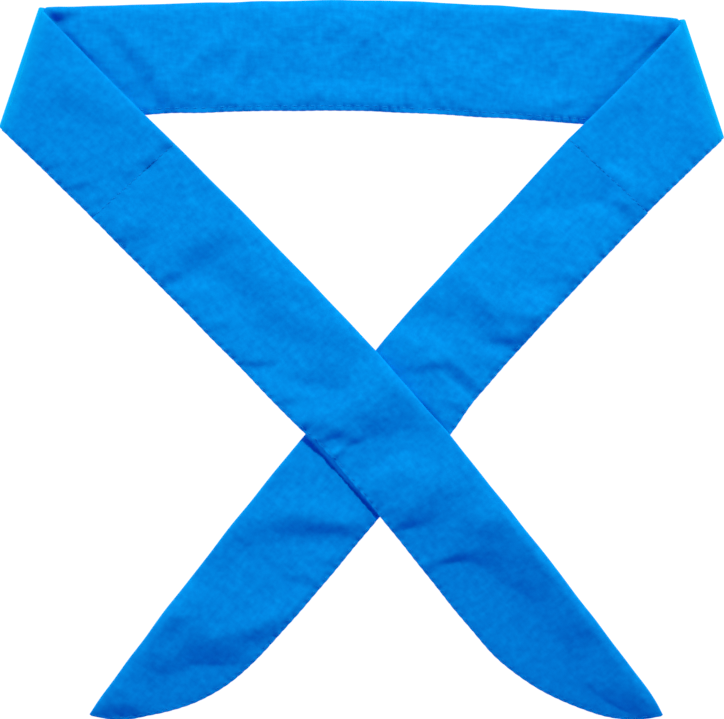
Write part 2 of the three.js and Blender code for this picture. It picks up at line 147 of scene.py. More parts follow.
LEFT_STRAP_FOLDS = (
    (50, 98, 122, 122, 12, 14), (12, 70, 60, 70, 26, -7), (48, 58, 100, 78, 16, -12),
    (48, 169, 64, 166, 6, 30), (64, 190, 86, 186, 5, 36), (92, 206, 106, 201, 5, 28),
    (20, 134, 56, 164, 14, -10), (158, 150, 184, 142, 8, 50), (138, 168, 158, 160, 7, 30),
    (118, 182, 136, 174, 6, 26), (112, 173, 134, 168, 6, 14), (60, 205, 190, 205, 50, -7),
    (152, 134, 172, 140, 8, 15), (116, 246, 150, 228, 10, 18), (160, 283, 180, 275, 6, 46),
    (164, 280, 184, 268, 9, 22), (172, 268, 200, 252, 14, 22), (188, 252, 216, 256, 14, 20),
    (214, 256, 262, 296, 16, 24), (206, 237, 256, 252, 14, 20), (262, 300, 312, 346, 18, 22),
    (290, 286, 322, 308, 12, 24), (240, 352, 290, 364, 9, 16), (300, 366, 345, 384, 12, 24),
    (226, 352, 252, 366, 8, 22), (300, 320, 350, 372, 18, 10), (370, 372, 404, 400, 14, 16),
    (288, 336, 306, 334, 8, 10), (212, 330, 232, 324, 6, 22), (180, 308, 196, 300, 5, 10),
    (242, 366, 270, 363, 5, 42), (286, 374, 342, 390, 6, 25), (340, 384, 376, 376, 9, 12),
    (278, 405, 300, 398, 5, 26), (301, 433, 331, 425, 10, 55), (311, 450, 345, 431, 8, 54),
    (344, 449, 366, 443, 10, 60), (329, 461, 350, 452, 6, 100), (331, 441, 416, 416, 26, 50),
    (356, 404, 410, 398, 14, 12), (376, 509, 398, 516, 8, 25), (366, 498, 440, 490, 18, 44),
    (394, 530, 412, 523, 6, 24), (384, 528, 426, 521, 14, 54), (396, 527, 448, 508, 18, 52),
    (404, 553, 460, 540, 16, 40), (372, 496, 400, 506, 8, 16), (370, 480, 430, 472, 18, 18),
    (424, 573, 462, 558, 8, 46), (430, 574, 480, 561, 14, 40), (430, 559, 500, 551, 18, 16),
    (466, 520, 490, 540, 16, 18), (464, 520, 540, 526, 24, 14), (486, 545, 578, 636, 40, 33),
    (572, 622, 656, 708, 36, 27), (552, 668, 640, 712, 28, 30), (552, 699, 640, 719, 20, 80),
    (530, 644, 600, 652, 30, 20), (576, 674, 616, 682, 14, 20), (290, 350, 390, 350, 50, 12),
    (450, 600, 560, 600, 60, 14), (480, 642, 500, 632, 7, 18),
)
RIGHT_STRAP_FOLDS = (
    (480, 236, 625, 236, 54, -14), (520, 192, 610, 192, 24, -14), (240, 600, 320, 600, 30, -10),
    (262, 480, 350, 480, 30, -8), (650, 100, 720, 100, 34, -10), (388, 334, 444, 334, 18, -30),
    (420, 346, 470, 346, 18, -20), (500, 266, 600, 266, 44, -12), (430, 282, 500, 262, 30, -10),
    (576, 186, 604, 182, 14, 16), (598, 176, 624, 196, 10, 44), (606, 197, 628, 215, 8, 44),
    (564, 153, 586, 150, 8, 50), (620, 176, 655, 196, 12, -8), (560, 180, 650, 180, 36, -10),
    (610, 150, 690, 150, 36, -12), (520, 215, 620, 215, 40, -12), (650, 172, 668, 176, 7, 10),
    (446, 286, 474, 276, 12, 6), (454, 301, 492, 303, 12, 32), (468, 314, 496, 314, 11, 36),
    (476, 327, 504, 328, 11, 50), (450, 282, 490, 290, 14, 16), (500, 288, 560, 288, 26, -16),
    (484, 340, 522, 342, 8, 48), (515, 304, 562, 304, 14, -30), (510, 214, 560, 204, 24, -14),
    (414, 392, 460, 392, 16, -20), (514, 316, 542, 324, 5, 15), (556, 276, 582, 284, 6, 24),
    (586, 248, 600, 246, 5, 10), (404, 371, 448, 364, 6, 20), (446, 362, 480, 396, 7, 32),
    (448, 404, 460, 410, 6, 20), (222, 548, 282, 524, 14, 16), (266, 524, 360, 534, 13, 40),
    (286, 576, 316, 586, 5, 30), (324, 568, 346, 556, 6, 14), (138, 670, 202, 659, 20, 30),
    (173, 674, 252, 659, 22, 44), (212, 650, 270, 635, 12, 24), (174, 655, 214, 645, 14, 32),
    (184, 676, 240, 664, 10, 20), (174, 622, 196, 618, 8, 20), (220, 640, 262, 630, 8, 16),
    (162, 618, 204, 640, 14, 30), (98, 690, 124, 690, 12, 18), (248, 642, 292, 618, 10, 38),
    (160, 640, 250, 626, 26, 14), (178, 596, 200, 616, 12, 16), (150, 636, 210, 622, 16, 18),
    (92, 706, 146, 708, 16, 36), (96, 714, 142, 715, 10, 50), (326, 527, 356, 532, 8, 20),
    (298, 572, 316, 582, 5, 30), (280, 598, 304, 592, 12, -10),
)

# Thickness in pixels from which a fold is broad, width over thickness of both kinds, how much a slope of
# one towards +X and +Y darkens the cloth, the least of that, and the margin that folds keep from a cover
BROAD_FOLD = 9
BROAD_SPREAD = 1.44
FINE_SPREAD = 1.22
SLOPE_SHADE = (0.056, 0.873)
LEAST_SHADE = 0.3
COVERED_MARGIN = 0.003

# Slack of the cloth: spread and wavelength of its ripples, how their waves' lengths vary, the share of it
# left at both edges, and the calm beside creases
RIPPLES = ((0.00022, 0.030), (0.00009, 0.013), (0.00003, 0.005))
RIPPLE_WAVES = 22
RIPPLE_LENGTHS = (0.7, 1.4)
SWELL_LENGTHS = (0.6, 1.6)
BAND_SLACK = 1.5
STRAP_SLACK = 1.0
SLACK_INSET = 0.004
EDGE_SLACK = 0.75
CALM_REACH = 0.0035
CREASE_CALM = 0.013

# Seeds of the random draws, and what the hem's puckers and the wander of both edges add to them
BAND_SEED = 100
LEFT_SEED = 200
RIGHT_SEED = 300
HEM_SEED = 10
HEM_WANDER_SEED = 20
FOLD_WANDER_SEED = 21

# How the hems are sewn: the stitches' inset from the edge and how deep they sink in, the share of the inset
# that the edge is pulled down by, and what the crown loses towards the hem
BAND_SEWING = {"inset": 0.0021, "sink": 0.00024, "pull": 0.62, "losses": ((0.62, 0.0019), (0.03, 0.0060))}
STRAP_SEWING = {"inset": 0.0012, "sink": 0.00012, "pull": 0.28, "losses": ((0.16, 0.0012), (0.03, 0.0060))}

# Stitches along the hems, how they draw them in, and the puckers that run in from them
STITCH_PITCH = 0.00373
HOLE_SINK = 0.00020
HOLE_SHARPNESS = 2
UNEVEN_STITCHES = 0.2
UNEVEN_WAVELENGTH = 0.02
GROOVE_HALF_WIDTH = 0.0007
PULL_REACH = 1.15
SCALLOP = (0.00011, 0.0016)
PUCKER = (0.00012, 0.0050)
PUCKER_WAVELENGTH = 0.0085
CLUSTER_WAVELENGTH = 0.030
CLUSTER_SHARE = 0.5
PUCKER_SLANT = 0.35

# Both edges wander a little in plan
WANDER = (0.00007, 0.006)
WANDER_WAVELENGTH = 0.030

# Stitching across the two seams
SEAM_SINK = 0.00016
SEAM_HALF_WIDTH = 0.0006
SEAM_PITCH = 0.0029
SEAM_EVEN_SHARE = 0.3
SEAM_LEAST = 0.45

# Spots where a cross seam is drawn in: their way along it, half their length, and how much deeper it is
LEFT_SEAM_SPOTS = (
    (0.0010, 0.0020, 1.2), (0.0120, 0.0030, 1.0), (0.0200, 0.0030, 0.6), (0.0330, 0.0060, 0.3),
)
RIGHT_SEAM_SPOTS = (
    (0.0060, 0.0030, 2.6), (0.0150, 0.0015, 0.7), (0.0215, 0.0026, 1.7), (0.0300, 0.0020, 0.5),
    (0.0400, 0.0034, 0.6),
)

# How far the pieces overlap at a seam, how steeply they tuck under each other there, and their first points
SEAM_OVERLAP = 0.00003
SEAM_TUCK = 2.0
SEAM_ROWS = (0, 0.0002, 0.0004)

# Stitches of thread: the share of the pitch that one spans, how deep it lies, its thickness and dip along
# it, and the width of cloth below which there is none
THREAD_RADIUS = 0.00017
THREAD_SPAN = 0.78
THREAD_SINK = 0.00012
THREAD_PROFILE = (0.35, 0.85, 1.0, 0.85, 0.35)
THREAD_DIP = (0.00020, 0.00005, 0.0, 0.00005, 0.00020)
THREAD_SIDES = 6
LEAST_SEWN_WIDTH = 0.006

# Spacing of the points along the cloth, and across it near both edges, in the middle and on the underside
STEP = 0.00063
EDGE_PLACES = np.array((0, 0.04, 0.12, 0.25, 0.45, 0.75, 1.1, 1.6, 2.2, 2.9)) / 1000
FULL_WIDTH = 0.012
MIDDLE_COLUMNS = 44
UNDERSIDE_STRIDE = 4

# Cloth: its yarns, slubs and mottling, the colours between which they run, the painted crease highlight,
# and its finish
NOISE_MIDDLE = 0.5
YARN_PITCH = 0.00040
WEAVE_SHARPNESS = 0.6
WEAVE_HEIGHT = 0.000004
SLUB_HEIGHT = 0.00009
SLUB_LENGTH = 0.0066
SLUB_WIDTH = 0.0019
MOTTLE_HEIGHT = 0.000165
MOTTLE_SIZE = 0.0030
SLUB_CONTRAST = 1.4
MOTTLE_CONTRAST = 1.2
DEEP_BLUE = (0.0, 0.205, 0.730, 1)
LIGHT_BLUE = (0.0, 0.295, 0.870, 1)
# Painted highlight along the creases: the paler blue mixed in there, its share, how far it reaches, and its
# map
HIGHLIGHT_BLUE = (0.0, 0.400, 0.950, 1)
HIGHLIGHT_SHARE = 0.65
HIGHLIGHT_REACH = 0.0085
HIGHLIGHT_MAP = "crease_highlight"
CLOTH_ROUGHNESS = 0.85
ROUGHNESS_SPREAD = 0.1
CLOTH_SPECULAR = 0.02
CLOTH_SHEEN = 0.3
SHEEN_ROUGHNESS = 0.5
SHEEN_BLUE = (0.0, 0.6, 1.0, 1)

# Thread: the way along it that one turn of its twist takes, its ribs and its colours
THREAD_TWIST = 0.0006
THREAD_CONTRAST = 0.25
THREAD_ROUGHNESS = 0.7
THREAD_SPECULAR = 0.1
THREAD_RIB = 0.00003
THREAD_DEEP = (0.0, 0.190, 0.680, 1)
THREAD_LIGHT = (0.0, 0.300, 0.820, 1)

# Floor just under the cloth
FLOOR_DROP = 0.0001
FLOOR_REACH = 12.0
FLOOR_COLOUR = (0.1, 0.1, 0.1, 1)
FLOOR_ROUGHNESS = 0.9
FLOOR_GLOW = (1, 1, 1, 1)

# Lights: a warm soft spot past the top of the picture, low ones at both sides, and a blue dome all round
WARM = (1, 0.95, 0.54)
KEY_LIGHT = {
    "azimuth": 4, "elevation": 39, "distance": 1.5, "power": 116, "colour": WARM,
    "aim": (0.008, 0.155, 0),
    "settings": {"shadow_soft_size": 0.11, "spot_size": 0.40, "spot_blend": 1.0},
}
SIDE_LIGHT = {
    "elevation": 12, "distance": 1.5, "power": 13, "colour": WARM, "aim": (0, 0, 0),
    "settings": {"shape": "DISK", "size": 0.6},
}
SIDE_AZIMUTH = 85
SURROUND_COLOUR = (0.34, 0.34, 1, 1)
SURROUND_STRENGTH = 0.51

# Camera straight above the wrap's middle
PHOTO_SCALE = 0.00041
PHOTO_WIDTH = 724
PHOTO_MIDDLE = (362, 359.5)
CAMERA_HEIGHT = 1.0
SENSOR_WIDTH = 36


def smoothstep(value, low, high):
    """Rises from 0 at low to 1 at high as 3tt - 2ttt."""
    t = np.clip((value - low) / (high - low), 0, 1)
    return t * t * (3 - 2 * t)


def fading(distance, *effects):
    """Sum of effects, each of which falls off exponentially with the distance over its reach."""
    return sum(size * np.exp(-distance / reach) for size, reach in effects)


def bell(distance, width):
    """1 at no distance, and exp(-ss) at s widths to either side."""
    return np.exp(-((distance / width) ** 2))


def unit(vectors):
    """The same directions with length one."""
    return vectors / np.linalg.norm(vectors, axis=-1, keepdims=True)


def along_rows(rows, places):
    """Reads the columns of a table of sections at any places, on cubics through its rows whose slope at
    each row is the mean of the two straight lines that meet there."""
    at, values = rows[:, 0], rows[:, 1:]
    secants = np.diff(values, axis=0) / np.diff(at)[:, None]
    slopes = np.concatenate((secants[:1], (secants[1:] + secants[:-1]) / 2, secants[-1:]))
    left = np.clip(np.searchsorted(at, places, side="right") - 1, 0, len(at) - 2)
    span = (at[left + 1] - at[left])[:, None]
    t = (places - at[left])[:, None] / span
    from_left = (1 + 2 * t) * (1 - t) ** 2 * values[left] + t * (1 - t) ** 2 * span * slopes[left]
    from_right = t**2 * (3 - 2 * t) * values[left + 1] + t**2 * (t - 1) * span * slopes[left + 1]
    return from_left + from_right


def wave_sum(rng, runs, wavelength, unlike):
    """Cosine waves of drawn lengths and phases, each along its own run, added up to unit spread."""
    lengths = wavelength * rng.uniform(*unlike, RIPPLE_WAVES)
    phases = rng.uniform(0, 2 * np.pi, RIPPLE_WAVES)
    waves = (np.cos(2 * np.pi * run / length + phase) for run, length, phase in zip(runs, lengths, phases))
    return sum(waves) * np.sqrt(2 / RIPPLE_WAVES)


def ripples(x, y, wavelength, seed):
    """A soft random field: waves of all headings."""
    rng = np.random.default_rng(seed)
    headings = rng.uniform(0, 2 * np.pi, RIPPLE_WAVES)
    runs = (x * np.cos(heading) + y * np.sin(heading) for heading in headings)
    return wave_sum(rng, runs, wavelength, RIPPLE_LENGTHS)


def swells(run, wavelength, seed):
    """The same along one line."""
    return wave_sum(np.random.default_rng(seed), [run] * RIPPLE_WAVES, wavelength, SWELL_LENGTHS)


def run_along(edge, x, y):
    """How far a point lies along an edge from its start."""
    way_x, way_y = unit(np.subtract(edge[1], edge[0]))
    return (x - edge[0][0]) * way_x + (y - edge[0][1]) * way_y


def past(edge, x, y):
    """How far a point lies on the right hand of an edge."""
    way_x, way_y = unit(np.subtract(edge[1], edge[0]))
    return (x - edge[0][0]) * way_y - (y - edge[0][1]) * way_x


@dataclass
class Sections:
    """Cross sections in plan, one row each: both ends, the crown's thickness, the way run along the hem,
    and what turns a distance along a section into one square to its folded edge, or to its hem."""

    fold: np.ndarray
    hem: np.ndarray
    crown: np.ndarray
    run: np.ndarray
    fold_square: np.ndarray
    hem_square: np.ndarray

    @property
    def width(self):
        return np.linalg.norm(self.hem - self.fold, axis=1)

    def at_runs(self, runs):
        """Sections between these, at any ways along the hem."""

        def read(values):
            return np.interp(runs, self.run, values)

        fold, hem = (np.column_stack((read(x), read(y))) for x, y in (self.fold.T, self.hem.T))
        return Sections(fold, hem, read(self.crown), runs, read(self.fold_square), read(self.hem_square))


@dataclass
class Place:
    """Places on a face: plan position, distance square to both edges, and the way run along the hem."""

    x: np.ndarray
    y: np.ndarray
    from_fold: np.ndarray
    from_hem: np.ndarray
    hem_run: np.ndarray

    def raised(self, shift, height):
        """Points at these places, shifted in plan and raised to a height."""
        return np.concatenate((np.stack((self.x, self.y), axis=-1) + shift, height[..., None]), axis=-1)


@dataclass
class Length:
    """One length of the sleeve: its sections, the height that it rests at, its soft folds, the seed of its
    draws, how its hem is sewn and how slack it is. Then the upper lengths that cover it, those of their
    edges that press into it and how, its creases, and its cross seams with their spots and the side of each
    that it lies on."""

    sections: Sections
    rests_on: object
    folds: tuple
    seed: int
    sewing: dict
    slack: float
    covers: tuple = ()
    presses: tuple = ()
    creases: tuple = ()
    seams: tuple = ()


def sections_between(fold, hem, crown):
    """Sections from their two ends, in order along the cloth."""
    across = unit(hem - fold)

    def square_to(edge):
        way = unit(np.gradient(edge, axis=0))
        return np.abs(way[:, 0] * across[:, 1] - way[:, 1] * across[:, 0])

    steps = np.linalg.norm(np.diff(hem, axis=0), axis=1)
    run = np.concatenate(((0,), np.cumsum(steps)))
    return Sections(fold, hem, crown, run, square_to(fold), square_to(hem))


def even_places(start, end):
    """Places from start to end, about a step apart."""
    return np.linspace(start, end, round((end - start) / STEP) + 1)


def from_seam(start, end):
    """The same, with a few closer together at the start, at the seam."""
    return np.concatenate((start + np.array(SEAM_ROWS), even_places(start, end)[1:]))


def straight_sections(start, end, hem_side, rows, places, crown):
    """Sections beside the straight line from start to end. Their folded edge stands off it by the bow, and
    their hem lies to the left of that way where hem_side is 1, and to the right where it is -1."""
    start, end = np.array(start), np.array(end)
    way = unit(end - start)
    square = np.array((-way[1], way[0])) * hem_side
    bow, lean, width = along_rows(rows, places).T[..., None]
    fold = start + way * places[:, None] - square * bow
    return sections_between(fold, fold + way * lean + square * width, crown)


def band_sections():
    """The band, from just past the left crease to just before the right one."""
    places = even_places(TURN_REACH + STEP, BAND_ROWS[-1, 0] - TURN_REACH - STEP)
    crown = np.full(len(places), CROWN)
    return straight_sections(LEFT_CREASE[0], RIGHT_CREASE[0], -1, BAND_ROWS, places, crown)


def tie_sections(seam, tip, hem_side, rows):
    """A tie from its cross seam to its point, with a crown that sinks towards the point."""
    places = from_seam(-SEAM_OVERLAP, rows[-1, 0])
    crown = CROWN + (TIP_CROWN - CROWN) * smoothstep(places, TIP_START, rows[-1, 0])
    return straight_sections(seam[0], tip, hem_side, rows, places, crown)


def arm_sections(seam, crease, bows):
    """An arm from its cross seam to its crease: each section lies a share of the way, and both edges bow
    outwards as parabolas, or inwards where the bow is below 0."""
    seam_fold, seam_hem, crease_fold, crease_hem = (np.array(point) for point in (*seam, *crease))
    reach = np.linalg.norm(crease_fold - seam_fold)
    share = from_seam(-SEAM_OVERLAP, reach - TURN_REACH - STEP)[:, None] / reach
    outward = unit(seam_fold - seam_hem)
    fold_bow, hem_bow = (4 * bow * share * (1 - share) for bow in bows)
    fold = seam_fold + (crease_fold - seam_fold) * share + outward * fold_bow
    hem = seam_hem + (crease_hem - seam_hem) * share - outward * hem_bow
    return sections_between(fold, hem, np.full(len(share), CROWN))


def distances_from_fold(width):
    """Places across each section, close together at both edges and even between them."""
    squeeze = np.minimum(1, width / FULL_WIDTH)[:, None]
    near = EDGE_PLACES * squeeze
    far = width[:, None] - near[:, ::-1]
    steps = np.linspace(0, 1, MIDDLE_COLUMNS + 2)[1:-1]
    middle = near[:, -1:] + (far[:, :1] - near[:, -1:]) * steps
    return np.hstack((near, middle, far))


def places_on(sections, from_fold):
    """Plan positions at distances along each section from its folded edge."""
    width = sections.width[:, None]
    share = (from_fold / width)[..., None]
    point = sections.fold[:, None] + (sections.hem - sections.fold)[:, None] * share
    square_to_fold = from_fold * sections.fold_square[:, None]
    square_to_hem = (width - from_fold) * sections.hem_square[:, None]
    run = np.broadcast_to(sections.run[:, None], from_fold.shape)
    return Place(point[..., 0], point[..., 1], square_to_fold, square_to_hem, run)


def from_creases(creases, x, y):
    """Distance to the nearest crease, or far more than any crease's effect reaches where there is none."""
    return np.min([np.abs(past(crease, x, y)) for crease in creases] + [np.ones_like(x)], axis=0)


def away_from(creases, place, reach=CALM_REACH):
    """0 at the creases and 1 away from them."""
    return smoothstep(from_creases(creases, place.x, place.y), TURN_REACH, reach)


def pressed(place, creases):
    """Share of the thickness left beside the creases."""
    return 1 - fading(from_creases(creases, place.x, place.y), CREASE_LOSS)


def edge_loss(place, sewing):
    """Share of the crown lost towards both edges."""
    return fading(place.from_fold, *FOLD_LOSSES) + fading(place.from_hem, *sewing["losses"])


def at_least(height, least):
    """The height itself, bent softly into the least one where it would sink below that."""
    spare = height - least
    return least + (spare + np.hypot(spare, THIN_BLEND)) / 2


def layer_below(place, edges, drop, creases=(), press=NO_EFFECT, slump=NO_EFFECT):
    """Height of a strap's underside: the lower layer's thickness, less what it slumps towards its own edges
    and what the strap's folded edge presses into it, let down smoothly beside those edges."""
    distance = np.max([past(edge, place.x, place.y) for edge in edges], axis=0)
    layer = CROWN * pressed(place, creases) * (1 - fading(np.maximum(-distance, 0), slump)) + LAYER_GAP
    drape = DRAPE_SHARE * fading(place.from_fold, press) * away_from(creases, place)
    return (layer - drape) * (1 - smoothstep(distance, *drop))


def on_floor(place):
    """The floor's height, 0 everywhere."""
    return np.zeros_like(place.x)


def under_left_strap(place):
    """The higher of the layers that the left arm and tie lie on: the band and the right tie."""
    band = layer_below(place, (BAND_HEM_LEFT,), LEFT_ARM_DROP, (LEFT_CREASE,), LEFT_PRESS)
    tie = layer_below(place, (CROSSED_FOLD, CROSSED_HEM), CROSSING_DROP, slump=CROSSING_SLUMP)
    return np.maximum(band, tie)


def under_right_strap(place):
    """The layer that the right arm lies on: the band."""
    return layer_below(place, (BAND_HEM_RIGHT,), RIGHT_ARM_DROP, (RIGHT_CREASE,), RIGHT_PRESS)


def on_wrap(pixel_x, pixel_y):
    """Where a place in the photo lies on the wrap."""
    return np.array((pixel_x - PHOTO_MIDDLE[0], PHOTO_MIDDLE[1] - pixel_y)) * PHOTO_SCALE


def fold_height(rows, x, y):
    """Height of the soft folds. At a distance d beside a fold's line it is its slope times d exp(-dd / ww),
    with w its width, and it fades as a bell towards both ends. The slope comes from its darkening."""
    total = np.zeros_like(x)
    for from_x, from_y, to_x, to_y, thickness, darkening in rows:
        line = on_wrap(from_x, from_y), on_wrap(to_x, to_y)
        way_x, way_y = unit(line[1] - line[0])
        half = np.linalg.norm(line[1] - line[0]) / 2
        beside = -past(line, x, y)
        width = thickness * PHOTO_SCALE * (BROAD_SPREAD if thickness >= BROAD_FOLD else FINE_SPREAD)
        shade = max(SLOPE_SHADE[1] * way_x - SLOPE_SHADE[0] * way_y, LEAST_SHADE)
        slope = darkening / 100 / shade
        total += slope * beside * bell(beside, width) * bell(run_along(line, x, y) - half, half)
    return total


def kept_clear(height, place, covers):
    """Levels what rises from just before a cover's edges onwards, and what sinks only under the cover,
    which is on the right hand of its edges."""
    for edges in covers:
        inside = np.min([past(edge, place.x, place.y) for edge in edges], axis=0)
        rising = 1 - smoothstep(inside, -COVERED_MARGIN / 2, COVERED_MARGIN / 2)
        sinking = 1 - smoothstep(inside, 0, COVERED_MARGIN)
        height = np.maximum(height, 0) * rising + np.minimum(height, 0) * sinking
    return height


def at_holes(run, pitch):
    """1 at each needle hole and 0 between them, as a power of a raised cosine."""
    return ((1 + np.cos(2 * np.pi * run / pitch)) / 2) ** HOLE_SHARPNESS


def hem_relief(place, sewing, seed):
    """A groove along the stitches, deeper at the needle holes, which pull the edge down, and slanted
    puckers that run in from it in clusters."""
    inset, holes = sewing["inset"], at_holes(place.hem_run, STITCH_PITCH)
    uneven = 1 + UNEVEN_STITCHES * swells(place.hem_run, UNEVEN_WAVELENGTH, seed)
    groove = bell(place.from_hem - inset, GROOVE_HALF_WIDTH) * (sewing["sink"] + HOLE_SINK * holes)
    pull = sewing["pull"] * inset * np.clip(1 - place.from_hem / (inset * PULL_REACH), 0, 1) * holes
    slanted = place.hem_run + PUCKER_SLANT * place.from_hem
    clusters = 1 + CLUSTER_SHARE * swells(slanted, CLUSTER_WAVELENGTH, seed + 2)
    puckers = fading(place.from_hem, PUCKER) * swells(slanted, PUCKER_WAVELENGTH, seed + 1) * clusters
    return puckers * smoothstep(place.from_hem, 0, inset) - (groove + pull) * uneven


def seam_relief(place, seam, spots, side):
    """A valley along a cross seam, bell-shaped across it, deeper at its stitches and at its spots, and
    tucked under the other piece past the seam's line."""
    run, beyond = run_along(seam, place.x, place.y), past(seam, place.x, place.y) * side
    uneven = SEAM_EVEN_SHARE + (1 - SEAM_EVEN_SHARE) * at_holes(run, SEAM_PITCH)
    drawn_in = SEAM_LEAST + sum(depth * bell(run - middle, reach) for middle, reach, depth in spots)
    valley = SEAM_SINK * bell(beyond, SEAM_HALF_WIDTH) * uneven * drawn_in
    return -valley - SEAM_TUCK * np.maximum(-beyond, 0)


def soft_relief(place, length):
    """What the slack of the cloth adds to the upper face: ripples and soft folds, calm beside creases."""
    slack = np.zeros_like(place.x)
    for draw, (spread, wavelength) in enumerate(RIPPLES):
        slack += spread * ripples(place.x, place.y, wavelength, length.seed + draw)
    slack = slack * length.slack + fold_height(length.folds, place.x, place.y)
    inside = smoothstep(place.from_fold, 0, SLACK_INSET) * smoothstep(place.from_hem, 0, SLACK_INSET)
    slack = slack * (EDGE_SLACK + (1 - EDGE_SLACK) * inside)
    return kept_clear(slack * away_from(length.creases, place, CREASE_CALM), place, length.covers)


def sewn_relief(place, length):
    """What the hem, the cross seams and the edges that press it sink into the upper face."""
    calm = away_from(length.creases, place)
    hem = hem_relief(place, length.sewing, length.seed + HEM_SEED)
    relief = kept_clear(hem * calm, place, length.covers)
    for seam in length.seams:
        relief = relief + seam_relief(place, *seam)
    for edge, press in length.presses:
        relief = relief - fading(np.abs(past(edge, place.x, place.y)), press) * calm
    return relief


def rounded(place):
    """Share of the thickness left in the rounded noses of both edges, as quarter circles."""
    at_fold = np.clip(1 - place.from_fold / FOLD_NOSE, 0, 1)
    at_hem = np.clip(1 - place.from_hem / HEM_NOSE, 0, 1)
    return np.sqrt(1 - at_fold**2) * np.sqrt(1 - at_hem**2)


def edge_shift(place, length):
    """How the outline strays in plan: the hem draws in at each needle hole, and both edges wander."""
    sections, run = length.sections, place.hem_run
    stray = -fading(place.from_hem, SCALLOP) * at_holes(run, STITCH_PITCH)
    for distance, draw in ((place.from_hem, HEM_WANDER_SEED), (place.from_fold, FOLD_WANDER_SEED)):
        stray = stray + fading(distance, WANDER) * swells(run, WANDER_WAVELENGTH, length.seed + draw)
    free = np.minimum(1, sections.width / FULL_WIDTH)[:, None] * away_from(length.creases, place)
    for seam, _, _ in length.seams:
        free = free * smoothstep(np.abs(past(seam, place.x, place.y)), 0, CALM_REACH)
    outward = unit(sections.hem - sections.fold)[:, None]
    return outward * (stray * free)[..., None]


def faces_of(length, from_fold):
    """Upper and lower face of a length, at distances along its sections from the folded edge. Its slack and
    folds thin or lift the crown, and then its edges, seams and presses sink into it."""
    place = places_on(length.sections, from_fold)
    full = length.sections.crown[:, None] * pressed(place, length.creases)
    body = at_least(full + soft_relief(place, length), LEAST_BODY)
    sewn = body - full * edge_loss(place, length.sewing) + sewn_relief(place, length)
    thick = at_least(sewn, LEAST_THICKNESS)
    free = np.minimum(1, length.sections.width / FULL_WIDTH)[:, None]
    lift = fading(place.from_fold, FOLD_LIFT) + fading(place.from_hem, HEM_LIFT)
    lift = np.minimum(lift * free * away_from(length.creases, place), thick - LEAST_EDGE)
    half = (thick - lift) / 2
    middle = length.rests_on(place) + lift + half
    nose = half * rounded(place)
    shift = edge_shift(place, length)
    return place.raised(shift, middle + nose), place.raised(shift, middle - nose)


def turn_faces(crease):
    """Front and back face round a crease, from the band's side to the strap's. Both go round half an
    ellipse, the back on the outside, and slide along the crease with the sine of the turn, as its edges are
    slanted."""
    fold, hem = (np.array(end) for end in crease)
    down = unit(hem - fold)
    inward = np.array((-down[1], down[0]))
    inward *= -np.sign(inward[0] * fold[0])
    turn = np.linspace(-np.pi / 2, np.pi / 2, TURN_STEPS + 1)
    shift = inward * TURN_REACH + down * TURN_SLIDE * np.sin(turn)[:, None]
    band_way = unit(np.subtract(RIGHT_CREASE[0], LEFT_CREASE[0]))
    square = np.full(len(turn), abs(band_way @ inward))
    sections = Sections(fold + shift, hem + shift, np.full(len(turn), CROWN), 0 * turn, square, square)
    place = places_on(sections, distances_from_fold(sections.width))
    full = CROWN * pressed(place, (crease,))
    thick = full * (1 - edge_loss(place, STRAP_SEWING))
    middle = full + LAYER_GAP / 2
    rise = np.sin(turn)[:, None]
    back = middle + rise * np.where(rise > 0, middle - full + thick, middle)
    front = middle + rise * np.where(rise > 0, LAYER_GAP / 2, middle - thick)
    outward = -np.cos(turn)[:, None, None] * inward
    back, front = place.raised(outward * TURN_REACH, back), place.raised(outward * TURN_HOLLOW, front)
    nose = (back - front) / 2 * rounded(place)[..., None]
    return (front + back) / 2 - nose, (front + back) / 2 + nose


def on_cloth(face, length):
    """A face with its places on the cloth as two more columns: along the straight line between the ends of
    a length's folded edge, and across it."""
    way = unit(length.sections.fold[-1] - length.sections.fold[0])
    across = np.array((-way[1], way[0]))
    return np.concatenate((face, face[..., :2] @ np.column_stack((way, across))), axis=-1)


def mapped_faces(length):
    """Upper and lower face of a length with their places on the cloth."""
    upper, lower = faces_of(length, distances_from_fold(length.sections.width))
    return on_cloth(upper, length), on_cloth(lower, length)


def mapped_turn(crease, band, arm):
    """The same round a crease: the lower half carries on the band's places and the upper half the arm's."""
    half = TURN_STEPS // 2
    halves = [(on_cloth(face[:half], band), on_cloth(face[half:], arm)) for face in turn_faces(crease)]
    return [np.concatenate(pair) for pair in halves]


